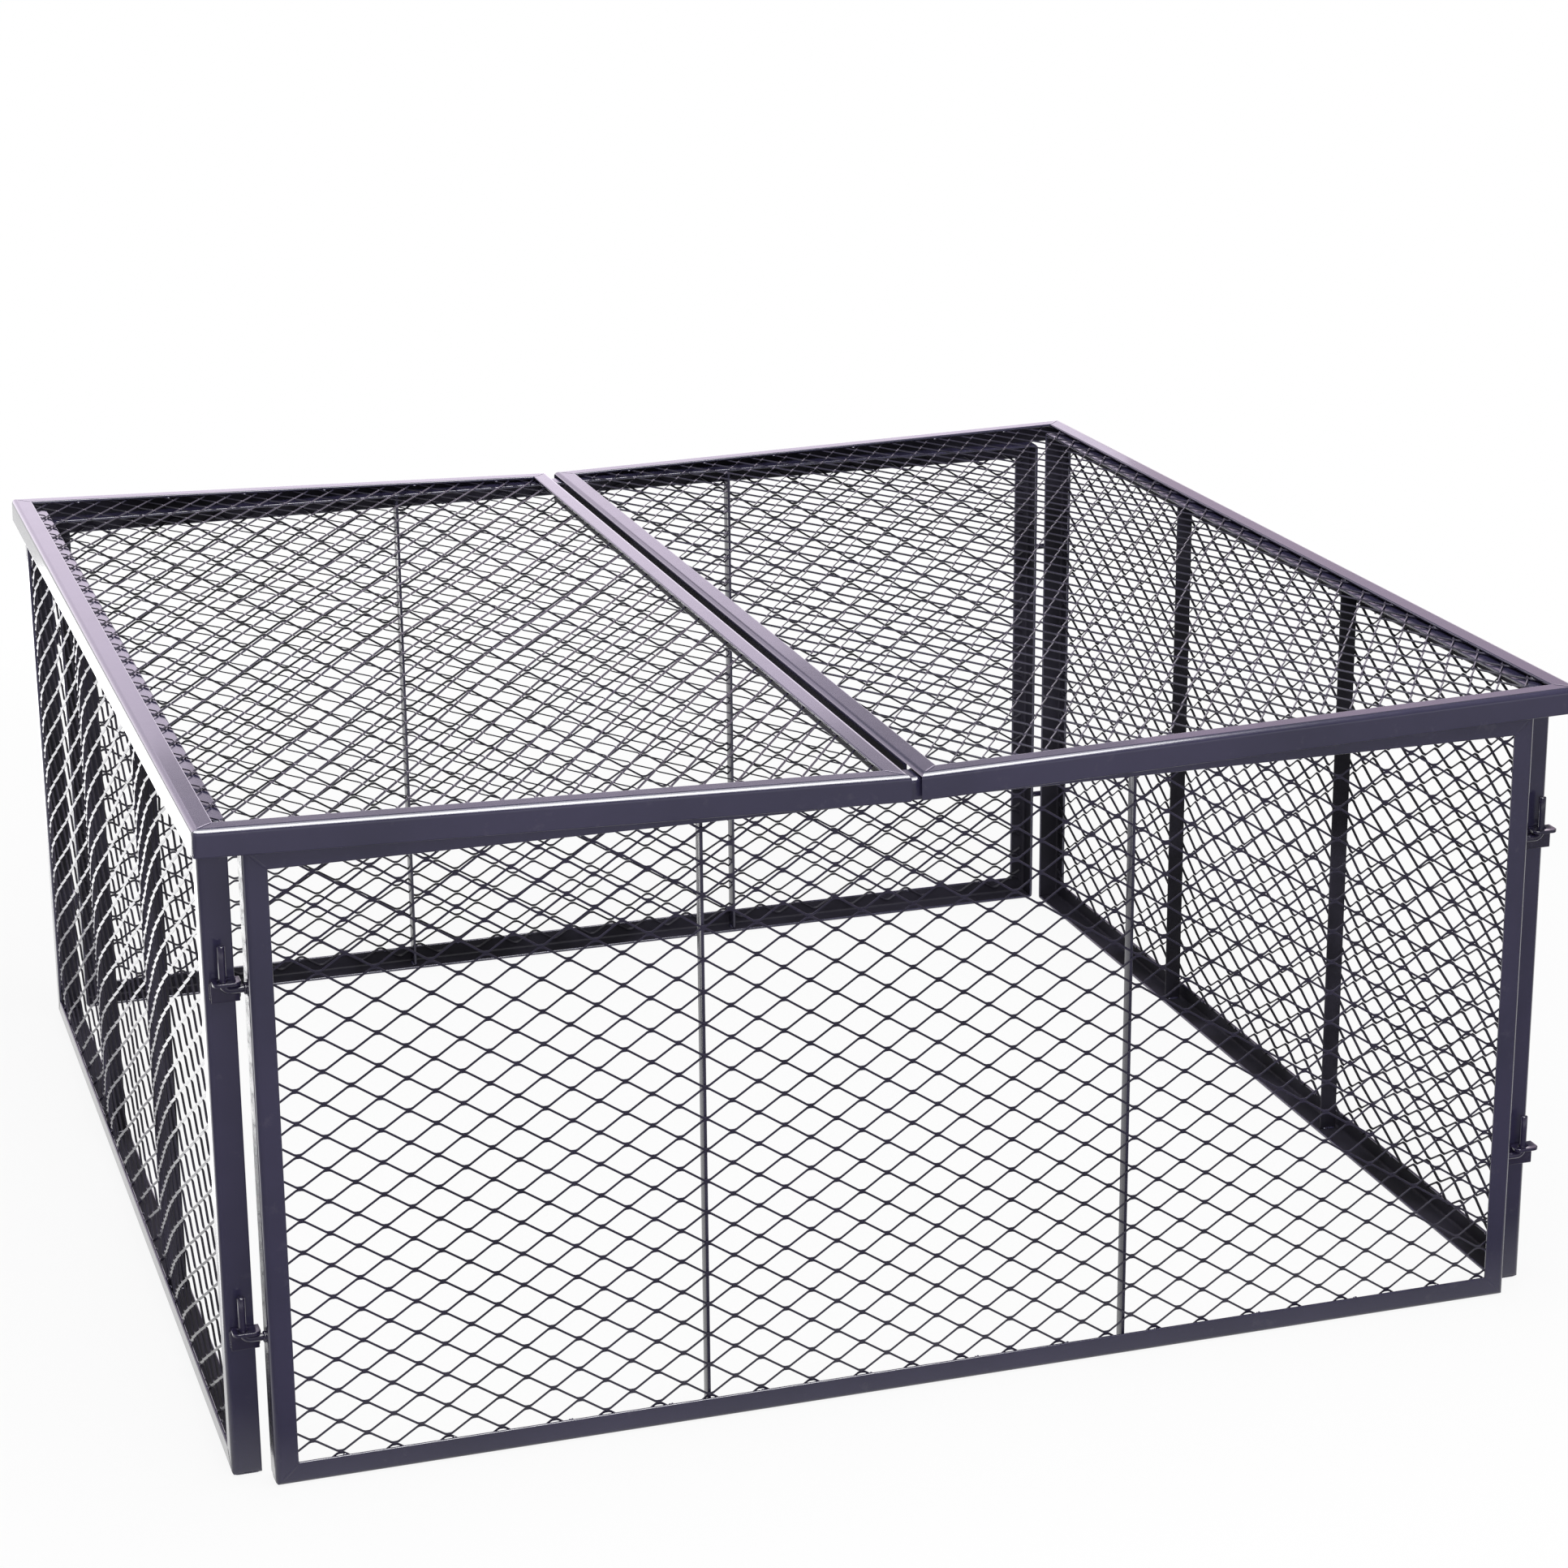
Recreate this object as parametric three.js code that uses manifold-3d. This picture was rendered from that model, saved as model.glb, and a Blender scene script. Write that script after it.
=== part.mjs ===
// Square garden compost bin: four mesh wall panels pinned at their corners and two loose lid halves.
// Millimetres, +Z up, origin on the ground at the centre of the bin. The front wall faces -Y.
import * as THREE from 'three';
import { mergeVertices } from 'three/addons/utils/BufferGeometryUtils.js';
import Module from 'manifold-3d';

const wasm = await Module();
wasm.setup();

// Wall panels, outside sizes. The side walls stand taller than the front and back walls.
const front_width = 1220;
const front_height = 599;
const side_length = 1220;
const side_rise = 16;

// Unequal angle iron. The narrow leg lies in the face of a panel, the deep leg stands behind it.
const narrow_leg = 21;
const deep_leg = 27;
const steel = 3;
const bend_radius = 4.5;
const toe_chamfer = 1;

// Clearances between pieces that are welded together, and between pieces that rest on each other.
const weld_gap = 0.3;
const rest_gap = 0.3;

// The front and back walls stand clear of the side walls by these.
const corner_gap_x = 7;
const corner_gap_y = 4;

// Mesh panels, welded behind the narrow legs.
const mesh_thickness = 2;
const mesh_lap = 11;
const mesh_strand = 7;

// Upright flat bars on edge behind the mesh of each wall.
const bar_thickness = 3;
const bar_depth = 18;
const front_bar_spacing = 412;
const side_bar_spacing = 420;

// Lid halves, of the same angle with a shorter hanging leg. They meet beside the middle of the bin, at
// lid_join. The hanging leg of the inner rail is cut away at both ends, clear of the walls, and is a
// body of its own.
const lid_skirt = 25;
const lid_clearance = 5;
const lid_gap = 9;
const lid_join = -10;
const lid_leg_cutback = 48;

// Clips: angle off-cuts on the end flanges of the side walls, drilled for the pins. The depth of the
// upper ones is measured down from the top of the front wall.
const clip_width = 25;
const clip_reach = 18;
const clip_drop = 22;
const clip_steel = 3;
const clip_corner_radius = 6;
const upper_clip_depth = 124;
const lower_clip_height = 147;

// Pins: round rod on the stiles of the front and back walls, bent up through the clips.
const pin_diameter = 7;
const pin_bend_radius = 6.5;
const pin_rise = 32;
const pin_drop = 8.5;
const pin_standoff = 10;
const pin_clearance = 0.7;

// How far the clips and the pins sit in from the outer face of the left and the right wall.
const left_clip_inset = 18;
const left_pin_inset = 15;
const right_clip_inset = 8;
const right_pin_inset = 10;

// How far a cutting block runs past what it cuts.
const overrun = 1;

// Counts.
const long_cell_count = 6;
const short_cell_count = 5;
const bend_segments = 4;
const rod_sides = 10;
const rod_steps = 18;
const hole_sides = 10;

const frame_paint = { color: 0x4b4860, roughness: 0.32, metalness: 0.25 };
const mesh_paint = { color: 0x2b2935, roughness: 0.45, metalness: 0.2 };
const latch_paint = { color: 0x3a3846, roughness: 0.3, metalness: 0.3 };

// Places worked out from the sizes above.
const side_height = front_height + side_rise;
const side_face = front_width / 2 + corner_gap_x + deep_leg;
const front_face = side_length / 2 + corner_gap_y + deep_leg;
const lid_outer_x = side_face + lid_clearance + steel;
const lid_outer_y = front_face + lid_clearance + steel;
const lid_length = 2 * lid_outer_y;
const mesh_back = steel + weld_gap + mesh_thickness;

function piece(name, geometry, look) {
  const mesh = new THREE.Mesh(geometry, new THREE.MeshStandardMaterial(look));
  mesh.name = name;
  return mesh;
}

// A closed geometry as a solid for cutting and joining.
function solid(geometry) {
  const bare = geometry.clone();
  bare.deleteAttribute('normal');
  bare.deleteAttribute('uv');
  const merged = mergeVertices(bare);
  const vertProperties = new Float32Array(merged.attributes.position.array);
  const triVerts = new Uint32Array(merged.index.array);
  return new wasm.Manifold(new wasm.Mesh({ numProp: 3, vertProperties, triVerts }));
}

// A cut or joined solid as a geometry again.
function shell(body) {
  const { vertProperties, triVerts } = body.getMesh();
  const geometry = new THREE.BufferGeometry();
  geometry.setAttribute('position', new THREE.Float32BufferAttribute(vertProperties, 3));
  geometry.setIndex([...triVerts]);
  geometry.computeVertexNormals();
  return geometry;
}

// A block given by its lowest and highest corners.
function block(low, high) {
  const [width, depth, height] = high.map((value, axis) => value - low[axis]);
  const [x, y, z] = high.map((value, axis) => (value + low[axis]) / 2);
  return new THREE.BoxGeometry(width, depth, height).translate(x, y, z);
}

// Cross-section of the angle: x runs from the panel's edge into its face, y runs behind the face. The
// leg behind the face is given.
function angleSection(leg) {
  const section = new THREE.Shape();
  section.moveTo(bend_radius, 0);
  section.lineTo(narrow_leg - toe_chamfer, 0);
  section.lineTo(narrow_leg, toe_chamfer);
  section.lineTo(narrow_leg, steel);
  section.lineTo(steel, steel);
  section.lineTo(steel, leg);
  section.lineTo(toe_chamfer, leg);
  section.lineTo(0, leg - toe_chamfer);
  section.lineTo(0, bend_radius);
  section.absarc(bend_radius, bend_radius, bend_radius, Math.PI, 1.5 * Math.PI, false);
  return section;
}

// One member of a panel's frame, extruded along z from corner to corner, with 45 degree mitres:
// every point is drawn back from the corner by its own distance from the panel's edge.
function angleMember(length, leg) {
  const geometry = new THREE.ExtrudeGeometry(angleSection(leg), {
    depth: length,
    bevelEnabled: false,
    curveSegments: bend_segments / 2,
  });
  const points = geometry.attributes.position;
  const setback = weld_gap * Math.SQRT1_2;
  for (let i = 0; i < points.count; i += 1) {
    const inset = points.getX(i) + setback;
    points.setZ(i, points.getZ(i) > 0 ? length - inset : inset);
  }
  geometry.computeVertexNormals();
  return geometry;
}

// The same member as two bodies, parted behind the face: the whole flange in the face, and the leg
// behind it, which is cut away for some length at both ends.
function cutBackMember(length, leg, cutback) {
  const angle = solid(angleMember(length, leg));
  const face_side = block(
    [-overrun, -overrun, -overrun],
    [narrow_leg + overrun, steel, length + overrun],
  );
  const leg_side = block(
    [-overrun, steel + weld_gap, cutback],
    [steel + overrun, leg + overrun, length - cutback],
  );
  return [shell(angle.intersect(solid(face_side))), shell(angle.intersect(solid(leg_side)))];
}

// Expanded mesh as a flat net: a plate with a lattice of diamonds cut out, halves and quarters along
// its border. x and y run across the panel from its centre, z is the thickness.
function netGeometry(width, height, cells_x, cells_y) {
  const field_x = width / 2 - narrow_leg;
  const field_y = height / 2 - narrow_leg;
  const half_x = field_x / cells_x;
  const half_y = field_y / cells_y;
  const slope_length = Math.hypot(half_x, half_y);
  const opening = 1 - (mesh_strand / 2) * slope_length / (half_x * half_y);
  const tips = [[1, 0], [0, 1], [-1, 0], [0, -1]];
  const rim_x = field_x + mesh_lap;
  const rim_y = field_y + mesh_lap;

  let net = solid(block([-rim_x, -rim_y, 0], [rim_x, rim_y, mesh_thickness]));
  for (let i = 0; i <= 2 * cells_x; i += 1) {
    for (let j = i % 2; j <= 2 * cells_y; j += 2) {
      const x = i * half_x - field_x;
      const y = j * half_y - field_y;
      const inside = ([right, up]) => {
        const column = i + right;
        const row = j + up;
        return column >= 0 && column <= 2 * cells_x && row >= 0 && row <= 2 * cells_y;
      };
      const place = ([right, up]) => new THREE.Vector2(
        x + right * half_x * opening,
        y + up * half_y * opening,
      );
      const corners = tips.filter(inside);
      if (corners.length === 2) {
        corners.push([0, 0]);
      }
      const diamond = new THREE.ExtrudeGeometry(new THREE.Shape(corners.map(place)), {
        depth: mesh_thickness + 2 * overrun,
        bevelEnabled: false,
      });
      net = net.subtract(solid(diamond.translate(0, 0, -overrun)));
    }
  }
  return shell(net);
}

// A panel in its own frame: x across, z up from its lower edge, its face at y = 0, and y inwards.
// The members are named in the order left, top, right, bottom.
function framePanel({ width, height, leg, members, mesh_name, cells, cutback_member }) {
  const panel = new THREE.Group();
  const corners = [[-width / 2, 0], [-width / 2, height], [width / 2, height], [width / 2, 0]];
  members.forEach((name, turn) => {
    const length = turn % 2 === 0 ? height : width;
    const side = new THREE.Group();
    const [x, z] = corners[turn];
    side.position.set(x, 0, z);
    side.rotation.y = turn * Math.PI / 2;
    if (name === cutback_member) {
      const [flange, hanging_leg] = cutBackMember(length, leg, lid_leg_cutback);
      side.add(piece(name, flange, frame_paint), piece(`${name}_leg`, hanging_leg, frame_paint));
    } else {
      side.add(piece(name, angleMember(length, leg), frame_paint));
    }
    panel.add(side);
  });
  const net = piece(mesh_name, netGeometry(width, height, ...cells), mesh_paint);
  net.rotation.x = Math.PI / 2;
  net.position.set(0, mesh_back, height / 2);
  panel.add(net);
  return panel;
}

// A wall panel with its two flat bars, which stand between the deep legs of its rails. Its ends are
// named as they lie in the bin, the one at -x first.
function wallPanel(wall, ends, width, height, bar_spacing) {
  const members = [`${ends[0]}_stile`, 'top_rail', `${ends[1]}_stile`, 'bottom_rail'];
  const panel = framePanel({
    width,
    height,
    leg: deep_leg,
    members: members.map((member) => `${wall}_wall_${member}`),
    mesh_name: `${wall}_wall_mesh`,
    cells: [long_cell_count, short_cell_count],
  });
  const front = mesh_back + weld_gap;
  const foot = steel + weld_gap;
  ends.forEach((end, index) => {
    const x = (index - 0.5) * bar_spacing;
    const low = [x - bar_thickness / 2, front, foot];
    const high = [x + bar_thickness / 2, front + bar_depth, height - foot];
    panel.add(piece(`${wall}_wall_${end}_bar`, block(low, high), frame_paint));
  });
  return panel;
}

// One lid half, built as the right half and turned round the vertical axis for the left one. inner_x
// is where its inner edge lies before it is turned. It rests on the inner top edge of its side wall
// and, lower, on the front and back walls beside the gap, so it slopes down to the middle.
function lidHalf(side, turn, members, inner_x) {
  const width = lid_outer_x - inner_x;
  const outer_rest_x = side_face - deep_leg;
  const inner_rest_x = inner_x + narrow_leg - mesh_lap;
  const slope = Math.atan2(side_rise, outer_rest_x - inner_rest_x);
  const inner_rest_run = inner_rest_x - inner_x - mesh_back * Math.sin(slope);
  const inner_top = front_height + rest_gap + mesh_back * Math.cos(slope)
    - inner_rest_run * Math.tan(slope);
  const panel = framePanel({
    width,
    height: lid_length,
    leg: lid_skirt,
    members: members.map((member) => `${side}_lid_${member}`),
    mesh_name: `${side}_lid_mesh`,
    cells: [short_cell_count, long_cell_count],
    cutback_member: `${side}_lid_inner_rail`,
  });
  panel.rotation.x = -Math.PI / 2;
  panel.position.set(width / 2, -lid_length / 2, 0);
  const sloped = new THREE.Group();
  sloped.add(panel);
  sloped.rotation.y = -slope;
  sloped.position.set(inner_x, 0, inner_top);
  const half = new THREE.Group();
  half.add(sloped);
  half.rotation.z = turn;
  return half;
}

// A clip: a flat top with rounded front corners and a hole, and a leg down the flange behind it.
// x across, y out from the flange, top at z = 0.
function clipGeometry(hole_x) {
  const half = clip_width / 2;
  const corner = clip_corner_radius;
  const plate = new THREE.Shape();
  plate.moveTo(-half, 0);
  plate.lineTo(half, 0);
  plate.lineTo(half, clip_reach - corner);
  plate.absarc(half - corner, clip_reach - corner, corner, 0, Math.PI / 2, false);
  plate.lineTo(corner - half, clip_reach);
  plate.absarc(corner - half, clip_reach - corner, corner, Math.PI / 2, Math.PI, false);
  const hole = new THREE.Path();
  const hole_radius = pin_diameter / 2 + pin_clearance;
  hole.absarc(hole_x, pin_standoff - weld_gap, hole_radius, 0, 2 * Math.PI, true);
  plate.holes.push(hole);
  const top = new THREE.ExtrudeGeometry(plate, {
    depth: clip_steel,
    bevelEnabled: false,
    curveSegments: hole_sides / 2,
  });
  top.translate(0, 0, -clip_steel);
  const leg = block([-half, 0, -clip_drop], [half, clip_steel, 0]);
  return shell(solid(top).add(solid(leg)));
}

// A pin: round rod that leaves the stile along x, bends and stands up along z.
function pinGeometry(reach, rise) {
  const radius = pin_diameter / 2;
  const outline = new THREE.Shape();
  outline.absarc(0, 0, radius, 0, 2 * Math.PI, false);
  const path = new THREE.CurvePath();
  const bend_start = new THREE.Vector3(reach - pin_bend_radius, 0, 0);
  const bend_corner = new THREE.Vector3(reach, 0, 0);
  const bend_end = new THREE.Vector3(reach, 0, pin_bend_radius);
  path.add(new THREE.LineCurve3(new THREE.Vector3(weld_gap, 0, 0), bend_start));
  path.add(new THREE.QuadraticBezierCurve3(bend_start, bend_corner, bend_end));
  path.add(new THREE.LineCurve3(bend_end, new THREE.Vector3(reach, 0, rise)));
  return new THREE.ExtrudeGeometry(outline, {
    extrudePath: path,
    steps: rod_steps,
    curveSegments: rod_sides / 2,
  });
}

// The latch at one corner and height: a clip on the side wall over a pin on the front or back wall.
function latch(corner, sign_x, sign_y, clip_inset, pin_inset, level, height) {
  const group = new THREE.Group();
  const clip_x = sign_x * (side_face - clip_inset);
  const pin_x = sign_x * (side_face - pin_inset);
  const clip = piece(`clip_${corner}_${level}`, clipGeometry(sign_y * (pin_x - clip_x)), latch_paint);
  clip.position.set(clip_x, sign_y * (side_length / 2 + weld_gap), height);
  clip.rotation.z = sign_y > 0 ? 0 : Math.PI;
  const stile_x = front_width / 2;
  const foot = height - pin_drop;
  const rod = pinGeometry(Math.abs(pin_x) - stile_x, pin_drop + pin_rise);
  const pin = piece(`pin_${corner}_${level}`, rod, latch_paint);
  pin.position.set(sign_x * stile_x, sign_y * (side_length / 2 + pin_standoff), foot);
  pin.rotation.z = sign_x > 0 ? 0 : Math.PI;
  group.add(clip, pin);
  return group;
}

function compostBin() {
  const bin = new THREE.Group();

  const front = wallPanel('front', ['left', 'right'], front_width, front_height, front_bar_spacing);
  front.position.y = -front_face;
  const back = wallPanel('back', ['right', 'left'], front_width, front_height, front_bar_spacing);
  back.rotation.z = Math.PI;
  back.position.y = front_face;
  const left = wallPanel('left', ['back', 'front'], side_length, side_height, side_bar_spacing);
  left.rotation.z = -Math.PI / 2;
  left.position.x = -side_face;
  const right = wallPanel('right', ['front', 'back'], side_length, side_height, side_bar_spacing);
  right.rotation.z = Math.PI / 2;
  right.position.x = side_face;
  bin.add(front, back, left, right);

  const right_members = ['inner_rail', 'back_rail', 'outer_rail', 'front_rail'];
  const left_members = ['inner_rail', 'front_rail', 'outer_rail', 'back_rail'];
  bin.add(lidHalf('right', 0, right_members, lid_gap / 2 + lid_join));
  bin.add(lidHalf('left', Math.PI, left_members, lid_gap / 2 - lid_join));

  const sides = [
    ['left', -1, left_clip_inset, left_pin_inset],
    ['right', 1, right_clip_inset, right_pin_inset],
  ];
  const levels = [['upper', front_height - upper_clip_depth], ['lower', lower_clip_height]];
  [['front', -1], ['back', 1]].forEach(([end, sign_y]) => {
    sides.forEach(([side, sign_x, clip_inset, pin_inset]) => {
      levels.forEach(([level, height]) => {
        bin.add(latch(`${end}_${side}`, sign_x, sign_y, clip_inset, pin_inset, level, height));
      });
    });
  });
  return bin;
}

export default compostBin();
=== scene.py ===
import math

import bpy
import numpy as np
from mathutils import Matrix, Vector


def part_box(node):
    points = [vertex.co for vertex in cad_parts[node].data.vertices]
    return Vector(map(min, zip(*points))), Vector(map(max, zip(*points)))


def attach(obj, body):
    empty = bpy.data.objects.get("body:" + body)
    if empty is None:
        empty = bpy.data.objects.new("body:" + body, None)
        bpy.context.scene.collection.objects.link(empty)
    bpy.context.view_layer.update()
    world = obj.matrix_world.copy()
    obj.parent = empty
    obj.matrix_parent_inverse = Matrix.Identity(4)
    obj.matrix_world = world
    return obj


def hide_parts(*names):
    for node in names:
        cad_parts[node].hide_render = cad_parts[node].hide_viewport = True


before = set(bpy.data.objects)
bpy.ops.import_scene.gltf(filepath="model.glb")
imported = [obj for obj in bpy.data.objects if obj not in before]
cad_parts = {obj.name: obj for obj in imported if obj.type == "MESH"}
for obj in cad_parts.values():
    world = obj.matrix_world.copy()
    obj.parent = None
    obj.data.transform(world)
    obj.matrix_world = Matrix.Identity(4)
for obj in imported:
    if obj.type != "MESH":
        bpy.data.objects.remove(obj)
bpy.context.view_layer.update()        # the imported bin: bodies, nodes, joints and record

# Garden compost bin: expanded metal in gloss painted angle iron. Metres, +Z up, the front faces -Y.
MM = 0.001

# Stock sizes, as in the solids. The middle of the gap between the lids lies at LID_JOIN. MESH_BACK is
# how far behind its face a lid rests on the walls, and MESH_LAP how far a net lies behind the flanges.
NARROW_LEG = 21 * MM
STEEL = 3 * MM
BEND_RADIUS = 5.5 * MM
LID_SKIRT = 25 * MM
LID_CLEARANCE = 5 * MM
LID_GAP = 9 * MM
LID_JOIN = -10 * MM
LID_LEG_CUTBACK = 48 * MM
REST_GAP = 0.3 * MM
MESH_BACK = 5.3 * MM
MESH_LAP = 11 * MM

# Fine shape of the angle iron.
TOE_RADIUS = 1.1 * MM
ROOT_RADIUS = 2.5 * MM
GROUND_CORNER = 5.0 * MM
SUPPORT = 0.35 * MM
EDGE_MARGIN = 0.01 * MM
ARC_STEPS = 8
TOE_STEPS = 3

# Rings of points along a frame member: how far the close ones reach from each mitre, their places as
# shares of that reach, and the even steps between them. Then the rings of a lid's cut inner rail.
MITRE_ZONE = 30 * MM
MITRE_SHARES = (0.0, 0.06, 0.14, 0.24, 0.4, 0.65, 1.0)
MIDDLE_STEPS = 25
CUT_LEG_RINGS = 40
CUT_FLANGE_RINGS = 7

# Expanded metal: pitch along and across the diamonds, the width and steel of one strand of the walls,
# of the front wall and of the lids, how far they are turned out of their plane, and the flat of a
# knuckle. Then how much painted shade, a darker paint that stands in for the shade inside the bin, the
# four corners of a strand's section show.
LONG_PITCH = 49.2 * MM
SHORT_PITCH = 30.4 * MM
WALL_STRAND = (2.5 * MM, 1.1 * MM)
FRONT_STRAND = (2.15 * MM, 1.0 * MM)
LID_STRAND = (1.9 * MM, 0.9 * MM)
WALL_TILT = math.radians(36)
FRONT_TILT = math.radians(14)
LID_TILT = math.radians(26)
KNUCKLE = 5.2 * MM
KNUCKLE_ROUND = 0.9 * MM
STRAND_PAINTED_SHADE = np.array([1.0, 1.0, 0.0, 0.0])
LID_STRAND_PAINTED_SHADE = np.array([1.0, 1.0, 0.35, 0.35])
# What half a strand is widened by so that neighbours meet, how deep a net sinks into the backs of the
# flanges, how far the middle of its last row may lie past its edge, and how near to the net's end, in
# half pitches, a station is left out.
STRAND_OVERLAP = 0.04 * MM
NET_SINK = 0.05 * MM
ROW_SPARE = 4 * MM
STATION_SPARE = 0.02
# Where one knuckle of the front net lies from the middle of its panel, along and across the diamonds.
# The other nets have one in the middle.
FRONT_KNUCKLE = (15.5 * MM, 13.1 * MM)
# How far the nets swell out of their plane: those of the lids by a height, those of the walls by a share
# of bumps. A bump has its place along the net and its half width, both as shares of the net's length,
# and its height. Each bay swells once and is drawn in beside the bar that holds it.
LID_SWELLING = 6 * MM
WALL_SWELLING_SHARES = {"front_wall": 0.2, "back_wall": 0.5, "left_wall": 1.0, "right_wall": 0.7}
WALL_BUMPS = (
    (0.092, 0.067, 10 * MM),
    (0.275, 0.042, -5 * MM),
    (0.425, 0.083, 10 * MM),
    (0.630, 0.033, -5 * MM),
    (0.820, 0.108, 10 * MM),
)

# Upright bars: how deep those of the front wall are, the rounding of all their edges, and how much
# painted shade, a darker paint that stands in for the shade inside the bin, the bars of the front and
# back walls show. Those of the side walls are wholly painted in that shade.
FRONT_BAR_DEPTH = 13 * MM
BAR_EDGE = 0.7 * MM
FRONT_BAR_PAINTED_SHADE = 0.4

# Latches. A clip's leg starts a little way under its plate.
PIN_RADIUS = 3.5 * MM
PIN_BEND = 6.5 * MM
PIN_TIP = 0.7 * MM
ROD_SIDES = 24
CLIP_STEEL = 3 * MM
CLIP_CORNER = 6 * MM
CLIP_EDGE = 0.6 * MM
CLIP_LEG_GAP = 0.4 * MM
HOLE_RADIUS = 4.2 * MM
HOLE_EDGE = 0.35 * MM

# Weld beads: half width and height, how far they stay clear of the two ends of their seam, the length
# of one ring and of one stroke of the torch, and the points around. Those on the lids lie flatter.
MITRE_BEAD = (1.5 * MM, 0.32 * MM)
MITRE_BEAD_CLEAR = (6.0 * MM, 1.5 * MM)
LID_BEAD_SHARE = 0.55
CORNER_BEAD = (1.4 * MM, 0.6 * MM)
CORNER_BEAD_CLEAR = (3.5 * MM, 2.5 * MM)
BAR_BEAD = (1.7 * MM, 1.5 * MM)
BAR_BEAD_CLEAR = (3 * MM, 2 * MM)
CLIP_BEAD = (1.2 * MM, 1.5 * MM)
CLIP_BEAD_CLEAR = (4 * MM, 2 * MM)
BEAD_STEP = 0.7 * MM
BEAD_STROKE = 2.1 * MM
BEAD_SIDES = 10
# The ring of weld round a pin's root: half height and half width, and how far its middle line lies from
# the stile and from the rod.
ROOT_WELD = (1.4 * MM, 1.5 * MM)
ROOT_WELD_CLEAR = (0.1 * MM, 0.3 * MM)
# Tacks of the nets: pitch, half sizes, the length of a member without any, how uneven their places are,
# and how far they lie in from the toe of the flange and above its back.
TACK_PITCH = 98.4 * MM
TACK_SIZE = (2.6 * MM, 1.7 * MM, 1.0 * MM)
TACK_FREE_LENGTH = 80 * MM
TACK_JITTER = 7 * MM
TACK_INSET = 1.2 * MM
TACK_RISE = 0.6 * MM

# Paint of each slot: name, its two shades in sRGB levels, roughness, coat, strength of the orange peel,
# and the colour of its painted shade, a darker paint on the inner side that stands in for the shade
# there, if it has one.
PAINTS = {
    "frame_paint": ("slate_frame_paint", (46, 43, 65), (40, 38, 58), 0.18, 0.5, 0.07, (20, 19, 25)),
    "mesh_paint": ("slate_mesh_paint", (42, 38, 57), (34, 31, 47), 0.28, 0.2, 0.1, (17, 16, 22)),
    "latch_paint": ("slate_latch_paint", (38, 33, 56), (28, 25, 43), 0.18, 0.5, 0.1, None),
}
DUST_SHADE = (140, 136, 142)
DUST_AMOUNT = 0.07
SPECK_SHADE = (26, 24, 30)
SPECK_AMOUNT = 0.5
# The painted shade on the inner side: its lighter cloud colour, and the roughness and specular level of
# its duller finish.
PAINTED_SHADE_CLOUD = (40, 38, 48)
PAINTED_SHADE_ROUGHNESS = 0.42
PAINTED_SHADE_SPECULAR = 0.12
COAT_ROUGHNESS = 0.06
PAINT_IOR = 1.47
UNEVEN_GLOSS = 0.10
PEEL_HEIGHT = 0.4 * MM
RIPPLE_SHARE = 0.35
CLOUD_RANGE = (0.35, 0.65)
DUST_RANGE = (0.60, 0.78)
SPECK_RANGE = (0.72, 0.76)
# Where the clouds of the painted shade run, and where the paint blends into the painted shade by each
# point's share.
PAINTED_SHADE_CLOUD_RANGE = (0.4, 0.6)
PAINTED_SHADE_RANGE = (0.02, 0.98)
# Noise on the paint: scale, detail, roughness and shift.
CLOUDS = (7.0, 4.0, 0.5, 0.0)
DUST = (55.0, 6.0, 0.65, 7.0)
SPECKS = (900.0, 2.0, 0.5, 3.0)
GLOSS_PATCHES = (38.0, 3.0, 0.5, 5.0)
RIPPLE = (420.0, 2.0, 0.5, 1.0)
SAG = (60.0, 2.0, 0.5, 9.0)

# Strength of the surround for all rays, and what is added for the camera and for lighting. Reflections
# see it as the camera does up to the first height of its directions and as dim from the second on.
SURROUND = 0.26
SURROUND_SEEN = 0.74
SURROUND_LIGHTING = 0.34
SURROUND_FADE = (0.08, 0.24)
# The floor: its shade under the light, the share of plain white that is seen near the bin and what is
# added far from it, and between which distances. Then the darker part in reflections: where it starts
# and is full in front of the bin, how much it dims there, where it runs out and how far, and its shade.
FLOOR_SHADE = 0.55
FLOOR_WHITE = 0.90
FLOOR_WHITE_FAR = 0.10
FLOOR_FADE = (1.1, 2.4)
FLOOR_DIM_START = (0.60, 0.75)
FLOOR_DIM = 0.85
FLOOR_DIM_END = (0.75, 3.0)
FLOOR_DIM_LOSS = 0.35
FLOOR_DARK_SHADE = 0.02
FLOOR_REACH = 14.0
FLOOR_DROP = 0.5 * MM
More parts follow.
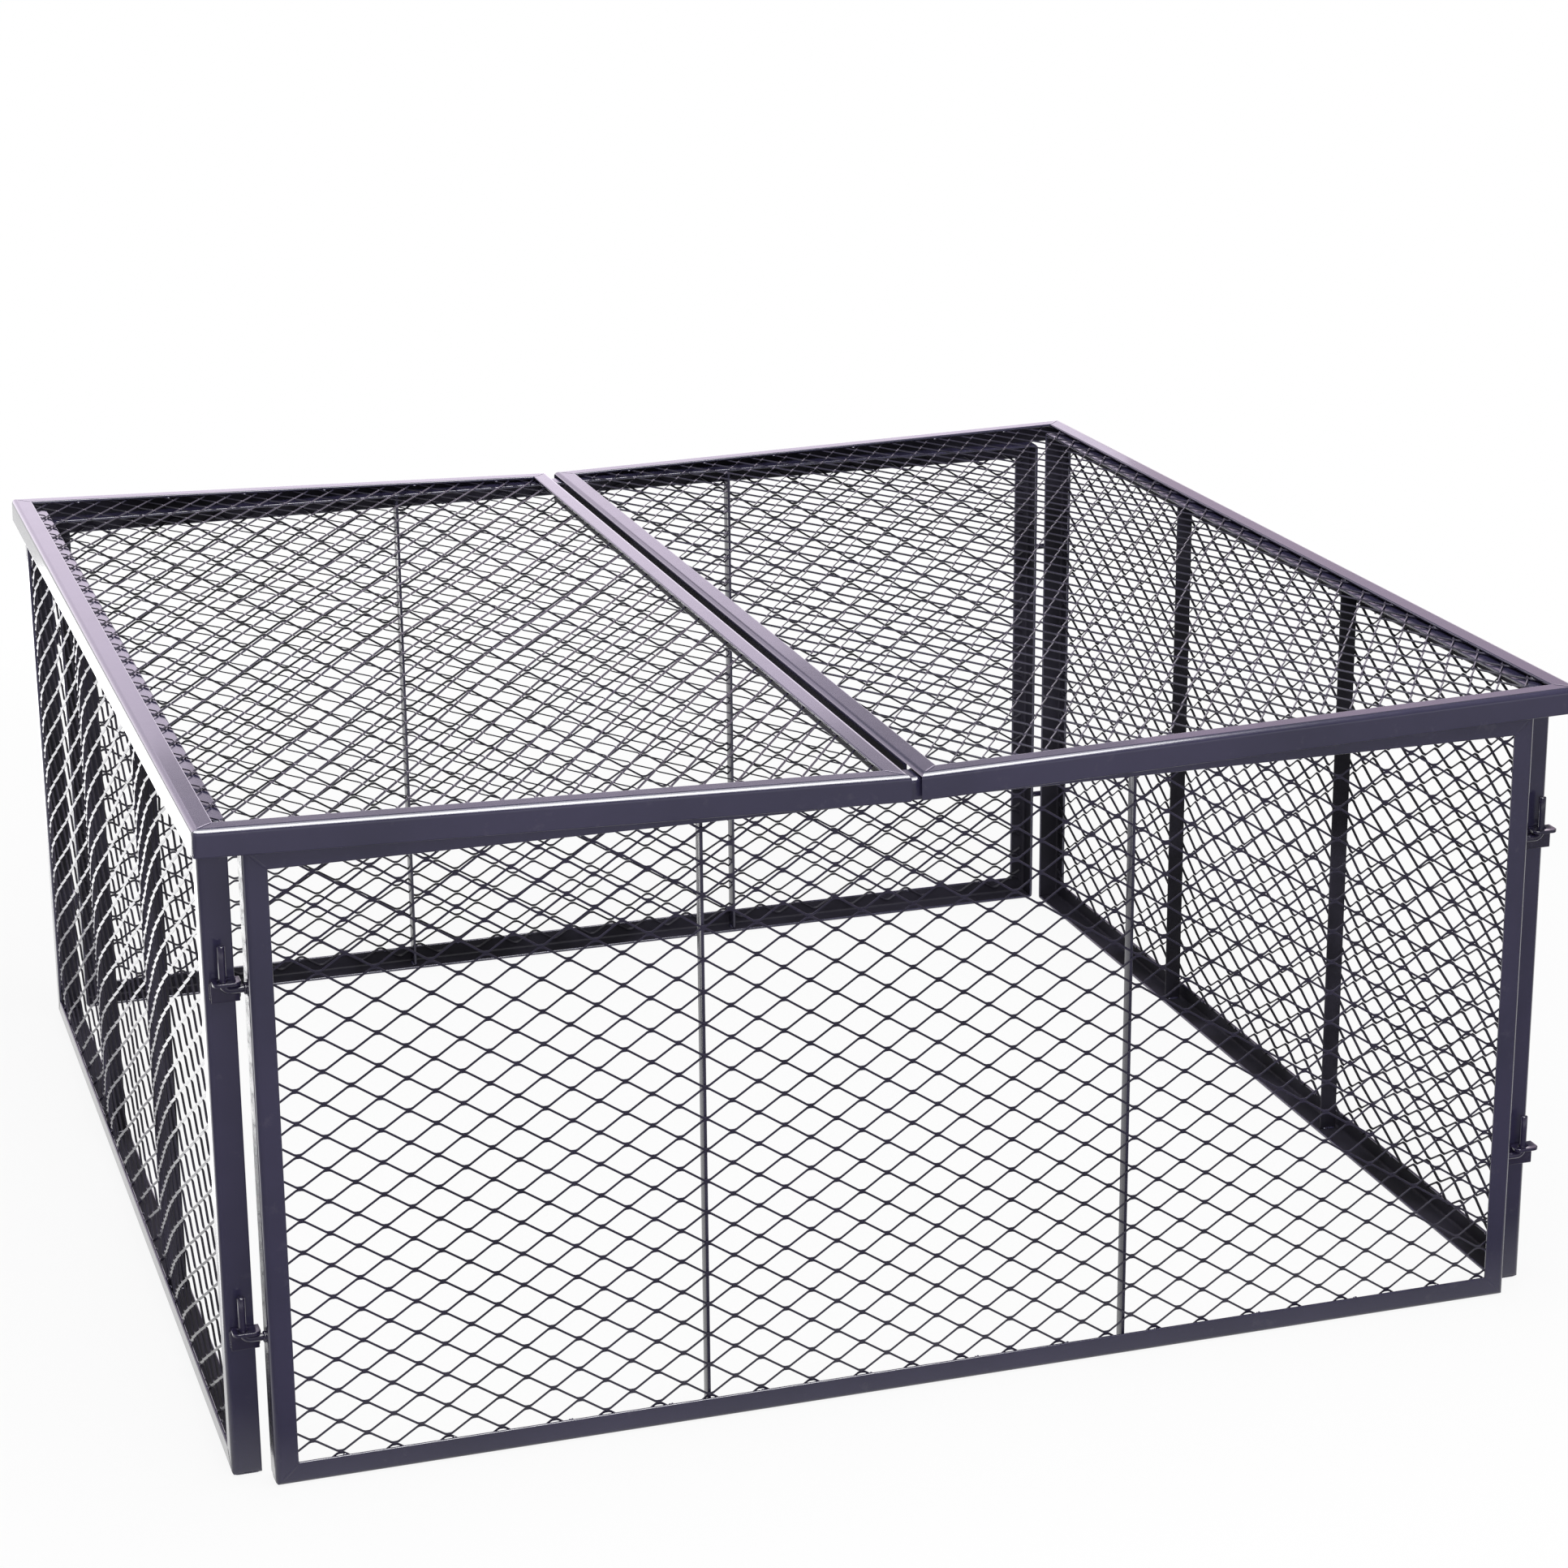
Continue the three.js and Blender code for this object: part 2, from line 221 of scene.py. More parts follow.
# Soft boxes: place, the point they face, size, radiance, and in what they differ from a plain lamp.
LAMPS = {
    "overhead": ((0.0, -0.8, 2.8), (0.0, -0.8, 0.3), (2.3, 2.9), 5.0, {}),
    "front_sheen": ((0.0, -1.9, 2.9), (0.0, -1.9, 0.3), (2.3, 2.4), 13.0, {"lights": False}),
    "front_fill": ((-0.6, -5.5, 1.8), (0.0, 0.0, 0.4), (3.0, 2.0), 6.0, {"mirrored": False}),
    "rear_card": ((-0.2, 4.6, 1.3), (-0.2, 0.0, 1.3), (5.2, 1.6), 1.3, {"colour": (1, 0.85, 1.07)}),
    "rear_card_left": ((-1.35, 4.6, 2.5), (-1.35, 0.0, 2.5), (2.9, 0.8), 1.1,
                       {"colour": (1, 0.86, 1.07)}),
    "rear_card_high": ((1.25, 4.6, 2.5), (1.25, 0.0, 2.5), (2.3, 0.8), 0.2,
                       {"colour": (1, 0.75, 1.04)}),
    "rear_card_right": ((3.4, 4.6, 1.7), (3.4, 0.0, 1.7), (2.0, 2.4), 0.6, {"colour": (1, 0.72, 1)}),
    "left_sweep": ((-1.25, 1.2, 0.02), (-1.25, 1.2, 1.0), (1.05, 3.2), 2.5, {}),
}

# Camera, fitted to the photograph's straight edges: lens and sensor in mm, place, and yaw, pitch and
# roll in degrees.
LENS = 83.53
SENSOR = 36.0
CAMERA_PLACE = (-1.06259, -3.53735, 1.56690)
CAMERA_TURN = (-17.8261, -17.5308, -0.449)


def node_box(name):
    """Lowest and highest corner of a CAD node as arrays."""
    low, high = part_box(name)
    return np.array(low), np.array(high)


FRONT_HEIGHT = float(node_box("front_wall_left_stile")[1][2])
SIDE_HEIGHT = float(node_box("left_wall_front_stile")[1][2])
FRONT_WIDTH = float(np.ptp([corner[0] for corner in node_box("front_wall_bottom_rail")]))
SIDE_LENGTH = float(np.ptp([corner[1] for corner in node_box("left_wall_bottom_rail")]))
SIDE_FACE = float(node_box("right_wall_bottom_rail")[1][0])
FRONT_FACE = float(node_box("back_wall_bottom_rail")[1][1])
DEEP_LEG = float(np.ptp([corner[1] for corner in node_box("front_wall_bottom_rail")]))
LID_OUTER_X = SIDE_FACE + LID_CLEARANCE + STEEL
LID_OUTER_Y = FRONT_FACE + LID_CLEARANCE + STEEL


def cross_volume(one, two, three):
    """Six times the signed volume between the origin and each triangle, summed."""
    return float(np.einsum("ij,ij->", one, np.cross(two, three)))


class Shape:
    """Grows one mesh out of tubes. Each point also carries its share of painted shade, a darker paint
    on the inner side that stands in for the shade there.
    """

    def __init__(self):
        self.points = []
        self.inner = []
        self.faces = []
        self.count = 0

    def tube(self, points, inner=0.0, looped=False):
        """Adds rings of points (rings, around, 3) as a closed skin: its ends are capped, or joined to
        each other if it is looped. The skin is turned so that its signed volume is positive."""
        rings, around = points.shape[:2]
        index = np.arange(rings * around).reshape(rings, around)
        beside = np.roll(index, -1, axis=1)
        if looped:
            rows, following = index, np.roll(index, -1, axis=0)
            beside_following = np.roll(beside, -1, axis=0)
            caps = []
        else:
            rows, following, beside_following = index[:-1], index[1:], beside[1:]
            beside = beside[:-1]
            caps = [index[0][::-1], index[-1]]
        quads = np.stack([rows, beside, beside_following, following], axis=-1).reshape(-1, 4)
        flat = points.reshape(-1, 3)
        corners = flat[quads]
        volume = cross_volume(corners[:, 0], corners[:, 1], corners[:, 2])
        volume += cross_volume(corners[:, 0], corners[:, 2], corners[:, 3])
        for cap in caps:
            rim = flat[cap]
            volume += cross_volume(np.broadcast_to(rim[0], rim[2:].shape), rim[1:-1], rim[2:])
        if volume < 0:
            quads = quads[:, ::-1]
            caps = [cap[::-1] for cap in caps]
        self.points.append(flat)
        self.inner.append(np.broadcast_to(inner, (rings, around)).ravel())
        self.faces.extend((quads + self.count).tolist())
        self.faces.extend((cap + self.count).tolist() for cap in caps)
        self.count += len(flat)

    def piece(self, name, material, body, replaced=(), sharp=50.0):
        """Makes the named piece, which rides on a body. Edges sharper than sharp degrees stay crisp."""
        mesh = bpy.data.meshes.new(name)
        mesh.from_pydata(np.concatenate(self.points).tolist(), [], self.faces)
        mesh.polygons.foreach_set("use_smooth", np.ones(len(mesh.polygons), bool))
        # Each point's share of painted shade, which the paint reads.
        inner = mesh.attributes.new("painted_inner_shade", "FLOAT", "POINT")
        inner.data.foreach_set("value", np.concatenate(self.inner).astype(np.float32))
        mesh.set_sharp_from_angle(angle=math.radians(sharp))
        mesh.materials.append(material)
        item = bpy.data.objects.new(name, mesh)
        bpy.context.scene.collection.objects.link(item)
        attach(item, body)
        if replaced:
            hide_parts(*replaced)


class Panel:
    """A wall or lid panel: across and along lie in its face, and inward points behind the face."""

    def __init__(self, name, origin, across, along, inward, width, height, leg, body):
        self.name = name
        self.is_lid = name.endswith("lid")
        self.origin = np.array(origin, float)
        self.axes = np.array([across, along, inward], float)
        self.width = width
        self.height = height
        self.leg = leg
        self.body = body

    def place(self, local):
        """Points given as (across, along, depth behind the face), in the frame."""
        return self.origin + local @ self.axes

    def way(self, local):
        """A direction given as (across, along, depth), in the frame."""
        return np.array(local, float) @ self.axes

    def member(self, turn, length_way, edge_way, depth):
        """Points of frame member number turn (left, top, right, bottom), given by the way along it from
        its first corner, the way in from the panel's edge, and the depth behind the face."""
        width, height = self.width, self.height
        across, along = [
            (edge_way, length_way),
            (length_way, height - edge_way),
            (width - edge_way, height - length_way),
            (width - length_way, edge_way),
        ][turn]
        across, along, depth = np.broadcast_arrays(across, along, depth)
        return self.place(np.stack([across, along, depth], axis=-1))

    def member_length(self, turn):
        """Length of frame member number turn over its two mitres."""
        return self.height if turn % 2 == 0 else self.width


def lid_panel(side, turned, inner_x):
    """A lid half: its plane passes over the inner top edge of the side wall and the top of the front and
    back walls beside the gap, as in the solids."""
    sign = -1.0 if turned else 1.0
    width = LID_OUTER_X - inner_x
    rest_x = inner_x + NARROW_LEG - MESH_LAP
    slope = math.atan2(SIDE_HEIGHT - FRONT_HEIGHT, SIDE_FACE - DEEP_LEG - rest_x)
    run = rest_x - inner_x - MESH_BACK * math.sin(slope)
    top = FRONT_HEIGHT + REST_GAP + MESH_BACK * math.cos(slope) - run * math.tan(slope)
    across = np.array([sign * math.cos(slope), 0.0, math.sin(slope)])
    along = np.array([0.0, sign, 0.0])
    inward = np.array([sign * math.sin(slope), 0.0, -math.cos(slope)])
    origin = (sign * inner_x, -sign * LID_OUTER_Y, top)
    return Panel(f"{side}_lid", origin, across, along, inward, width, 2 * LID_OUTER_Y, LID_SKIRT,
                 f"{side}_lid")


def wall_panel(name, face_x, face_y, across, inward, width, height, body):
    """A wall, given by the middle of the foot of its outer face."""
    corner = np.array([face_x, face_y, 0.0]) - np.array(across, float) * width / 2
    return Panel(f"{name}_wall", corner, across, (0, 0, 1), inward, width, height, DEEP_LEG, body)


ROOT = "front_and_back_walls"
PANELS = [
    wall_panel("front", 0, -FRONT_FACE, (1, 0, 0), (0, 1, 0), FRONT_WIDTH, FRONT_HEIGHT, ROOT),
    wall_panel("back", 0, FRONT_FACE, (-1, 0, 0), (0, -1, 0), FRONT_WIDTH, FRONT_HEIGHT, ROOT),
    wall_panel("left", -SIDE_FACE, 0, (0, -1, 0), (1, 0, 0), SIDE_LENGTH, SIDE_HEIGHT, "left_wall"),
    wall_panel("right", SIDE_FACE, 0, (0, 1, 0), (-1, 0, 0), SIDE_LENGTH, SIDE_HEIGHT, "right_wall"),
    lid_panel("left", True, LID_GAP / 2 - LID_JOIN),
    lid_panel("right", False, LID_GAP / 2 + LID_JOIN),
]
# Names of the frame members in the order left, top, right, bottom of each panel, and of its bars.
MEMBERS = {
    "front_wall": ("left_stile", "top_rail", "right_stile", "bottom_rail"),
    "back_wall": ("right_stile", "top_rail", "left_stile", "bottom_rail"),
    "left_wall": ("back_stile", "top_rail", "front_stile", "bottom_rail"),
    "right_wall": ("front_stile", "top_rail", "back_stile", "bottom_rail"),
    "left_lid": ("inner_rail", "front_rail", "outer_rail", "back_rail"),
    "right_lid": ("inner_rail", "back_rail", "outer_rail", "front_rail"),
}
BARS = {
    "front_wall": ("left_bar", "right_bar"),
    "back_wall": ("left_bar", "right_bar"),
    "left_wall": ("front_bar", "back_bar"),
    "right_wall": ("front_bar", "back_bar"),
}


def arc(centre, radius, start, end, steps):
    """Points on a circle from angle start to angle end, in degrees."""
    angle = np.radians(np.linspace(start, end, steps + 1))
    return np.stack([centre[0] + radius * np.cos(angle), centre[1] + radius * np.sin(angle)], axis=-1)


def full_turn(steps):
    """Angles of even steps round a circle, in radians."""
    return np.linspace(0, 2 * math.pi, steps + 1)[:-1]


def outline(runs):
    """Joins runs of (points, share of painted shade) into one closed outline and the painted shade of
    its points.
    """
    points = [np.array(run, float) for run, side in runs]
    sides = [np.full(len(run), side, float) for run, side in runs]
    return np.concatenate(points), np.concatenate(sides)


def angle_profile(leg):
    """Closed outline of the angle: the way in from the panel's edge, and the depth behind the face. The
    outer bend, the root and the toes are arcs, with a support point a little way past each. Its faces on
    the inner side get painted shade, a darker paint that stands in for the shade there."""
    bend, toe, root = BEND_RADIUS, TOE_RADIUS, ROOT_RADIUS
    return outline([
        ([(bend + SUPPORT, 0), (NARROW_LEG - toe - SUPPORT, 0)], 0),
        (arc((NARROW_LEG - toe, toe), toe, -90, 0, TOE_STEPS), 0),
        (arc((NARROW_LEG - toe, STEEL - toe), toe, 0, 90, TOE_STEPS), 0),
        ([(NARROW_LEG - toe - SUPPORT, STEEL), (STEEL + root + SUPPORT, STEEL)], 1),
        (arc((STEEL + root, STEEL + root), root, -90, -180, TOE_STEPS), 1),
        ([(STEEL, STEEL + root + SUPPORT), (STEEL, leg - toe - SUPPORT)], 1),
        (arc((STEEL - toe, leg - toe), toe, 0, 90, TOE_STEPS), 0),
        (arc((toe, leg - toe), toe, 90, 180, TOE_STEPS), 0),
        ([(0, leg - toe - SUPPORT), (0, bend + SUPPORT)], 0),
        (arc((bend, bend), bend, 180, 270, ARC_STEPS), 0),
    ])


def flange_profile():
    """Closed outline of the flange alone, with the start of its bend, where the leg is cut away. Its
    back face gets painted shade.
    """
    bend, toe = BEND_RADIUS, TOE_RADIUS
    turn = 180 + math.degrees(math.asin((bend - STEEL) / bend))
    bend_arc = arc((bend, bend), bend, turn, 270, ARC_STEPS)
    return outline([
        (bend_arc, 0),
        ([(bend + SUPPORT, 0), (NARROW_LEG - toe - SUPPORT, 0)], 0),
        (arc((NARROW_LEG - toe, toe), toe, -90, 0, TOE_STEPS), 0),
        (arc((NARROW_LEG - toe, STEEL - toe), toe, 0, 90, TOE_STEPS), 0),
        ([(NARROW_LEG - toe - SUPPORT, STEEL), (bend_arc[0, 0] + SUPPORT, STEEL)], 1),
    ])


def ground_corner(way_one, way_two):
    """Rounds a panel's outer corner: a point nearer to both edges than the radius is drawn on to the
    quarter circle if it lies outside it."""
    radius = GROUND_CORNER
    near = (way_one < radius) & (way_two < radius)
    one = radius - way_one
    two = radius - way_two
    reach = np.maximum(np.hypot(one, two), 1e-9)
    pull = np.where(near & (reach > radius), radius / reach, 1.0)
    return (np.where(near, radius - one * pull, way_one), np.where(near, radius - two * pull, way_two))


def stations(length):
    """Shares of the way from one mitre to the other: close together near the ends."""
    zone = MITRE_ZONE / length
    near = np.array(MITRE_SHARES) * zone
    middle = np.linspace(zone, 1 - zone, MIDDLE_STEPS + 1)[1:-1]
    return np.concatenate([near, middle, 1 - near[::-1]])


def angle_member(panel, turn, shape, rounded):
    """One frame member: the profile carried along the edge between two 45 degree mitres, where each
    point stops as far from the corner as it lies from the edge. rounded says which of its two ends
    lies at a ground corner."""
    profile, inner = angle_profile(panel.leg)
    edge_way = profile[None, :, 0]
    depth = profile[None, :, 1]
    length = panel.member_length(turn)
    share = stations(length)[:, None]
    length_way = edge_way + share * (length - 2 * edge_way)
    first_end = share < 0.5
    ground = np.where(first_end, rounded[0], rounded[1])
    plain_end = np.where(first_end, length_way, length - length_way)
    plain_edge = np.broadcast_to(edge_way, plain_end.shape)
    from_end, edge = ground_corner(plain_end, plain_edge)
    from_end = np.where(ground, from_end, plain_end)
    edge = np.where(ground, edge, plain_edge)
    length_way = np.where(first_end, from_end, length - from_end)
    shape.tube(panel.member(turn, length_way, edge, depth), inner)


def cut_back_member(panel, turn, shape):
    """The inner rail of a lid half: the whole angle between the cuts, and the flange alone from each
    cut to the mitre. Its leg's face in the narrow gap gets the same painted shade as its inner side, a
    darker paint that stands in for the shade in the gap."""
    length = panel.member_length(turn)
    profile, inner = angle_profile(panel.leg)
    inner = np.where(profile[:, 0] < EDGE_MARGIN, 1.0, inner)
    length_way = np.linspace(LID_LEG_CUTBACK, length - LID_LEG_CUTBACK, CUT_LEG_RINGS)[:, None]
    shape.tube(panel.member(turn, length_way, profile[None, :, 0], profile[None, :, 1]), inner)
    profile, inner = flange_profile()
    edge_way = profile[None, :, 0]
    share = np.linspace(0, 1, CUT_FLANGE_RINGS)[:, None]
    start = edge_way + share * (LID_LEG_CUTBACK - edge_way)
    for length_way in (start, length - start):
        shape.tube(panel.member(turn, length_way, edge_way, profile[None, :, 1]), inner)


def lid_swelling(across, along):
    """How far a lid's loose net stands above its panel's plane, from 0 at the frame: the height times
    sin(pi across) sin(pi along) (1 + 0.5 sin(9.1 along + 4 across)), for shares from 0 to 1."""
    rim = np.sin(math.pi * np.clip(across, 0, 1)) * np.sin(math.pi * np.clip(along, 0, 1))
    return LID_SWELLING * rim * (1 + 0.5 * np.sin(9.1 * along + 4.0 * across))


def wall_swelling(wall, across, along):
    """How far a wall's net stands out of its plane: a sum of bumps height exp(-(way / width)^2) along
    the wall, which runs out at the frame as 1 - (2 share - 1)^12 upwards and ^40 sideways."""
    rise = sum(height * np.exp(-((across - place) / width) ** 2) for place, width, height in WALL_BUMPS)
    rim = (1 - (2 * np.clip(along, 0, 1) - 1) ** 12) * (1 - (2 * np.clip(across, 0, 1) - 1) ** 40)
    return WALL_SWELLING_SHARES[wall] * rise * rim


def net(panel, shape):
    """Expanded metal as zigzag ribbons, one between each two slits. Ribbon k runs along the long way of
    the diamonds. Its centre lies level at each knuckle and runs straight between them, from the row
    above to the row below, so that neighbours meet edge to edge at every second knuckle. All ribbons
    are tilted alike about the long way. The nets swell a little between their frames."""
    lid = panel.is_lid
    tilt, strand, long_shift, short_shift = WALL_TILT, WALL_STRAND, 0.0, 0.0
    if lid:
        tilt, strand = LID_TILT, LID_STRAND
    elif panel.name == "front_wall":
        tilt, strand = FRONT_TILT, FRONT_STRAND
        long_shift, short_shift = FRONT_KNUCKLE
    strand_width, strand_steel = strand
    reach_long = (panel.height if lid else panel.width) / 2 - NARROW_LEG + MESH_LAP
    reach_short = (panel.width if lid else panel.height) / 2 - NARROW_LEG + MESH_LAP
    half_long = LONG_PITCH / 2
    half_short = SHORT_PITCH / 2
    flat = KNUCKLE / 2 / half_long
    ease_in = KNUCKLE_ROUND / half_long
    width_up = strand_width * math.cos(tilt) + strand_steel * math.sin(tilt)
    width_in = strand_width * math.sin(tilt)

    # Stations along the ribbon, counted in half pitches from the first knuckle: four at each knuckle.
    first = math.ceil((-reach_long - long_shift) / half_long)
    last = math.floor((reach_long - long_shift) / half_long)
    around = np.array([-flat - ease_in, -flat + ease_in, flat - ease_in, flat + ease_in])
    wave = (np.arange(first, last + 1)[:, None] + around[None, :]).ravel()
    ends = np.array([-reach_long, reach_long]) / half_long - long_shift / half_long
    within = (wave > ends[0] + STATION_SPARE) & (wave < ends[1] - STATION_SPARE)
    wave = np.concatenate([ends[:1], wave[within], ends[1:]])
    phase = np.abs((wave + 1) % 2 - 1)
    ease = np.clip((phase - flat) / (1 - 2 * flat), 0, 1)

    rows = np.arange(math.ceil((-reach_short - ROW_SPARE - short_shift) / half_short),
                     math.floor((reach_short + ROW_SPARE - short_shift) / half_short))
    ease = np.where((rows % 2)[:, None] == 0, 1 - ease[None, :], ease[None, :])
    high = (rows[:, None] + 1) * half_short - width_up / 2
    low = rows[:, None] * half_short + width_up / 2
    centre = high + (low - high) * ease
    back = width_in / 2 * (1 - 2 * ease)

    half_w, half_t = strand_width / 2 + STRAND_OVERLAP, strand_steel / 2
    corners = np.array([(-half_w, -half_t), (half_w, -half_t), (half_w, half_t), (-half_w, half_t)])
    up = corners[:, 0] * math.cos(tilt) - corners[:, 1] * math.sin(tilt)
    into = -corners[:, 0] * math.sin(tilt) - corners[:, 1] * math.cos(tilt)
    nearest = width_in / 2 + half_w * math.sin(tilt) + half_t * math.cos(tilt)
    short_way = short_shift + centre[..., None] + up
    depth = STEEL - NET_SINK + nearest + back[..., None] + into
    long_way = np.broadcast_to((long_shift + wave * half_long)[None, :, None], short_way.shape)
    across, along = (short_way, long_way) if lid else (long_way, short_way)
    across, along = across + panel.width / 2, along + panel.height / 2
    shares = [(way - NARROW_LEG) / (size - 2 * NARROW_LEG)
              for way, size in ((across, panel.width), (along, panel.height))]
    depth = depth - (lid_swelling(*shares) if lid else wall_swelling(panel.name, *shares))
    for ribbon in panel.place(np.stack([across, along, depth], axis=-1)):
        # The inner corners of each strand get painted shade; on the lids some of it also lies on the
        # outer corners.
        shape.tube(ribbon, LID_STRAND_PAINTED_SHADE if lid else STRAND_PAINTED_SHADE)


def rounded_rectangle(half_a, half_b, radius):
    """Closed outline of a rectangle with round corners."""
    a, b = half_a - radius, half_b - radius
    return np.concatenate([
        arc((a, b), radius, 0, 90, TOE_STEPS), arc((-a, b), radius, 90, 180, TOE_STEPS),
        arc((-a, -b), radius, 180, 270, TOE_STEPS), arc((a, -b), radius, 270, 360, TOE_STEPS)])


def flat_bar(low, high, radius, inner, shape):
    """An upright flat bar: a rounded rectangle carried up, drawn in by a quarter circle at both ends."""
    centre = (low + high) / 2
    half = (high - low) / 2
    outline_points = rounded_rectangle(half[0], half[1], radius)
    turn = np.radians(np.linspace(0, 90, 4))
    draw = np.concatenate([1 - np.sin(turn), [0.0] * 10, 1 - np.sin(turn[::-1])]) * radius
    near = radius * (1 - np.cos(turn))
    rise = np.concatenate([low[2] + near, np.linspace(low[2] + radius, high[2] - radius, 12)[1:-1],
                           high[2] - near[::-1]])
    scale = 1 - draw[:, None, None] / half[:2]
    flat = centre[:2] + outline_points[None] * scale
    height = np.broadcast_to(rise[:, None, None], flat.shape[:2] + (1,))
    shape.tube(np.concatenate([flat, height], axis=-1), inner)


def bead(start, end, side, out, half_width, height, shape):
    """A weld bead: a flattened tube from start to end, half sunk, that swells and thins with each
    stroke of the torch: 1 + 0.16 sin(2 pi s + seed) + 0.08 sin(5.1 s + 2 seed) after s strokes, where
    the seed comes from its place. It runs out at its ends as the root of 1 - (2 share - 1)^6."""
    start, end = np.array(start, float), np.array(end, float)
    length = float(np.linalg.norm(end - start))
    count = max(8, int(length / BEAD_STEP))
    share = np.linspace(0, 1, count)
    stroke = share * length / BEAD_STROKE
    seed = 40.0 * float(np.abs(start).sum())
    swell = 1 + 0.16 * np.sin(2 * math.pi * stroke + seed) + 0.08 * np.sin(5.1 * stroke + 2 * seed)
    swell *= np.sqrt(np.clip(1 - (2 * share - 1) ** 6, 0.04, 1))
    angle = full_turn(BEAD_SIDES)
    ring = np.cos(angle)[:, None] * side * half_width + np.sin(angle)[:, None] * out * height
    centre = start + share[:, None] * (end - start)
    shape.tube(centre[:, None, :] + swell[:, None, None] * ring[None])


def tack(centre, axes, size, shape):
    """A tack weld: an ellipsoid of few faces, from rings at five latitudes."""
    latitude = np.radians([-70, -35, 0, 35, 70])[:, None, None]
    angle = full_turn(8)[None, :, None]
    points = (np.cos(latitude) * np.cos(angle) * axes[0] * size[0]
              + np.cos(latitude) * np.sin(angle) * axes[1] * size[1]
              + np.sin(latitude) * axes[2] * size[2])
    shape.tube(centre + points)


def panel_welds(panel, shape):
    """Beads along each mitre and down each outer corner of a panel's frame, and tacks where the net
    meets the backs of the flanges."""
    width, height = panel.width, panel.height
    out = panel.way((0, 0, -1))
    near, far = MITRE_BEAD_CLEAR[0], NARROW_LEG - MITRE_BEAD_CLEAR[1]
    inset = GROUND_CORNER * (1 - math.sqrt(0.5))
    head = np.array([0, 0, CORNER_BEAD_CLEAR[0]])
    foot = np.array([0, 0, panel.leg - CORNER_BEAD_CLEAR[1]])
    for corner_across, corner_along in ((0, 0), (0, 1), (1, 1), (1, 0)):
        to_across, to_along = 1 - 2 * corner_across, 1 - 2 * corner_along
        corner = np.array([corner_across * width, corner_along * height, 0.0])
        inwards = np.array([to_across, to_along, 0.0])
        sideways = panel.way(np.array([to_across, -to_along, 0.0]) / math.sqrt(2))
        half_width, rise = MITRE_BEAD
        bead(panel.place(corner + inwards * near), panel.place(corner + inwards * far), sideways, out,
             half_width, rise * (LID_BEAD_SHARE if panel.is_lid else 1.0), shape)
        if panel.is_lid and corner_across == 0:
            continue
        bead(panel.place(corner + inwards * inset + head), panel.place(corner + inwards * inset + foot),
             sideways, panel.way(-inwards / math.sqrt(2)), *CORNER_BEAD, shape)
    across, along = panel.way((1, 0, 0)), panel.way((0, 1, 0))
    for turn in range(4):
        length = panel.member_length(turn)
        count = int((length - TACK_FREE_LENGTH) / TACK_PITCH)
        places = (np.arange(count + 1) - count / 2) * TACK_PITCH + length / 2
        jitter = TACK_JITTER * np.sin(places * 911.0 + turn)
        centres = panel.member(turn, places + jitter, NARROW_LEG - TACK_INSET, STEEL + TACK_RISE)
        one, two = (along, across) if turn % 2 == 0 else (across, along)
        for centre in centres:
            tack(centre, (one, two, out), TACK_SIZE, shape)


def bar_welds(low, high, shape):
    """Beads down both sides of a bar's foot and head, where it stands on the legs of the rails."""
    thin = 0 if high[0] - low[0] < high[1] - low[1] else 1
    deep = 1 - thin
    side = np.eye(3)[thin]
    up = np.eye(3)[2]
    for level in (low[2], high[2]):
        for edge in (low[thin], high[thin]):
            start = np.zeros(3)
            start[thin], start[deep], start[2] = edge, low[deep] + BAR_BEAD_CLEAR[0], level
            end = start.copy()
            end[deep] = high[deep] - BAR_BEAD_CLEAR[1]
            bead(start, end, side, up, *BAR_BEAD, shape)


def pin(name, shape):
    """A pin: a round rod that leaves the stile level, turns up on a quarter circle, and ends in a small
    chamfer. A ring of weld lies round its root, uneven by 1 + 0.2 sin(5 turn + 40 height) + 0.12 sin(9
    turn)."""
    low, high = node_box(name)
    sign = 1.0 if high[0] + low[0] > 0 else -1.0
    root = sign * FRONT_WIDTH / 2
    place_x = (high[0] if sign > 0 else low[0]) - sign * PIN_RADIUS
    place_y = (low[1] + high[1]) / 2
    foot = low[2] + PIN_RADIUS
    reach = abs(place_x - root)
    turn = np.radians(np.linspace(0, 90, 10))
    run = np.concatenate([np.linspace(0, reach - PIN_BEND, 4)[:-1],
                          reach - PIN_BEND + PIN_BEND * np.sin(turn), [reach] * 3])
    top = high[2] - foot
    rise = np.concatenate([[0.0] * 3, PIN_BEND * (1 - np.cos(turn)), [(top + PIN_BEND) / 2],
                           [top - PIN_TIP], [top]])
    lean = np.concatenate([[0.0] * 3, turn, [math.pi / 2] * 3])
    radius = np.full(len(run), PIN_RADIUS)
    radius[-1] -= PIN_TIP
    around = full_turn(ROD_SIDES)
    out = -np.sin(lean)[:, None] * np.cos(around) * radius[:, None]
    up = np.cos(lean)[:, None] * np.cos(around) * radius[:, None]
    beside = np.broadcast_to(np.sin(around), out.shape) * radius[:, None]
    points = np.stack([root + sign * (run[:, None] + out), place_y + beside,
                       foot + rise[:, None] + up], axis=-1)
    shape.tube(points)

    turn = full_turn(ROD_SIDES)[:, None]
    swell = 1 + 0.2 * np.sin(5 * turn + 40 * foot) + 0.12 * np.sin(9 * turn)
    section = full_turn(8)[None, :]
    spread = PIN_RADIUS + ROOT_WELD_CLEAR[1] + ROOT_WELD[1] * swell * np.cos(section)
    stand_off = ROOT_WELD_CLEAR[0] + ROOT_WELD[0] * swell * np.sin(section)
    points = np.stack([
        np.broadcast_to(root + sign * stand_off, spread.shape),
        place_y + spread * np.cos(turn), foot + spread * np.sin(turn)], axis=-1)
    shape.tube(points, looped=True)


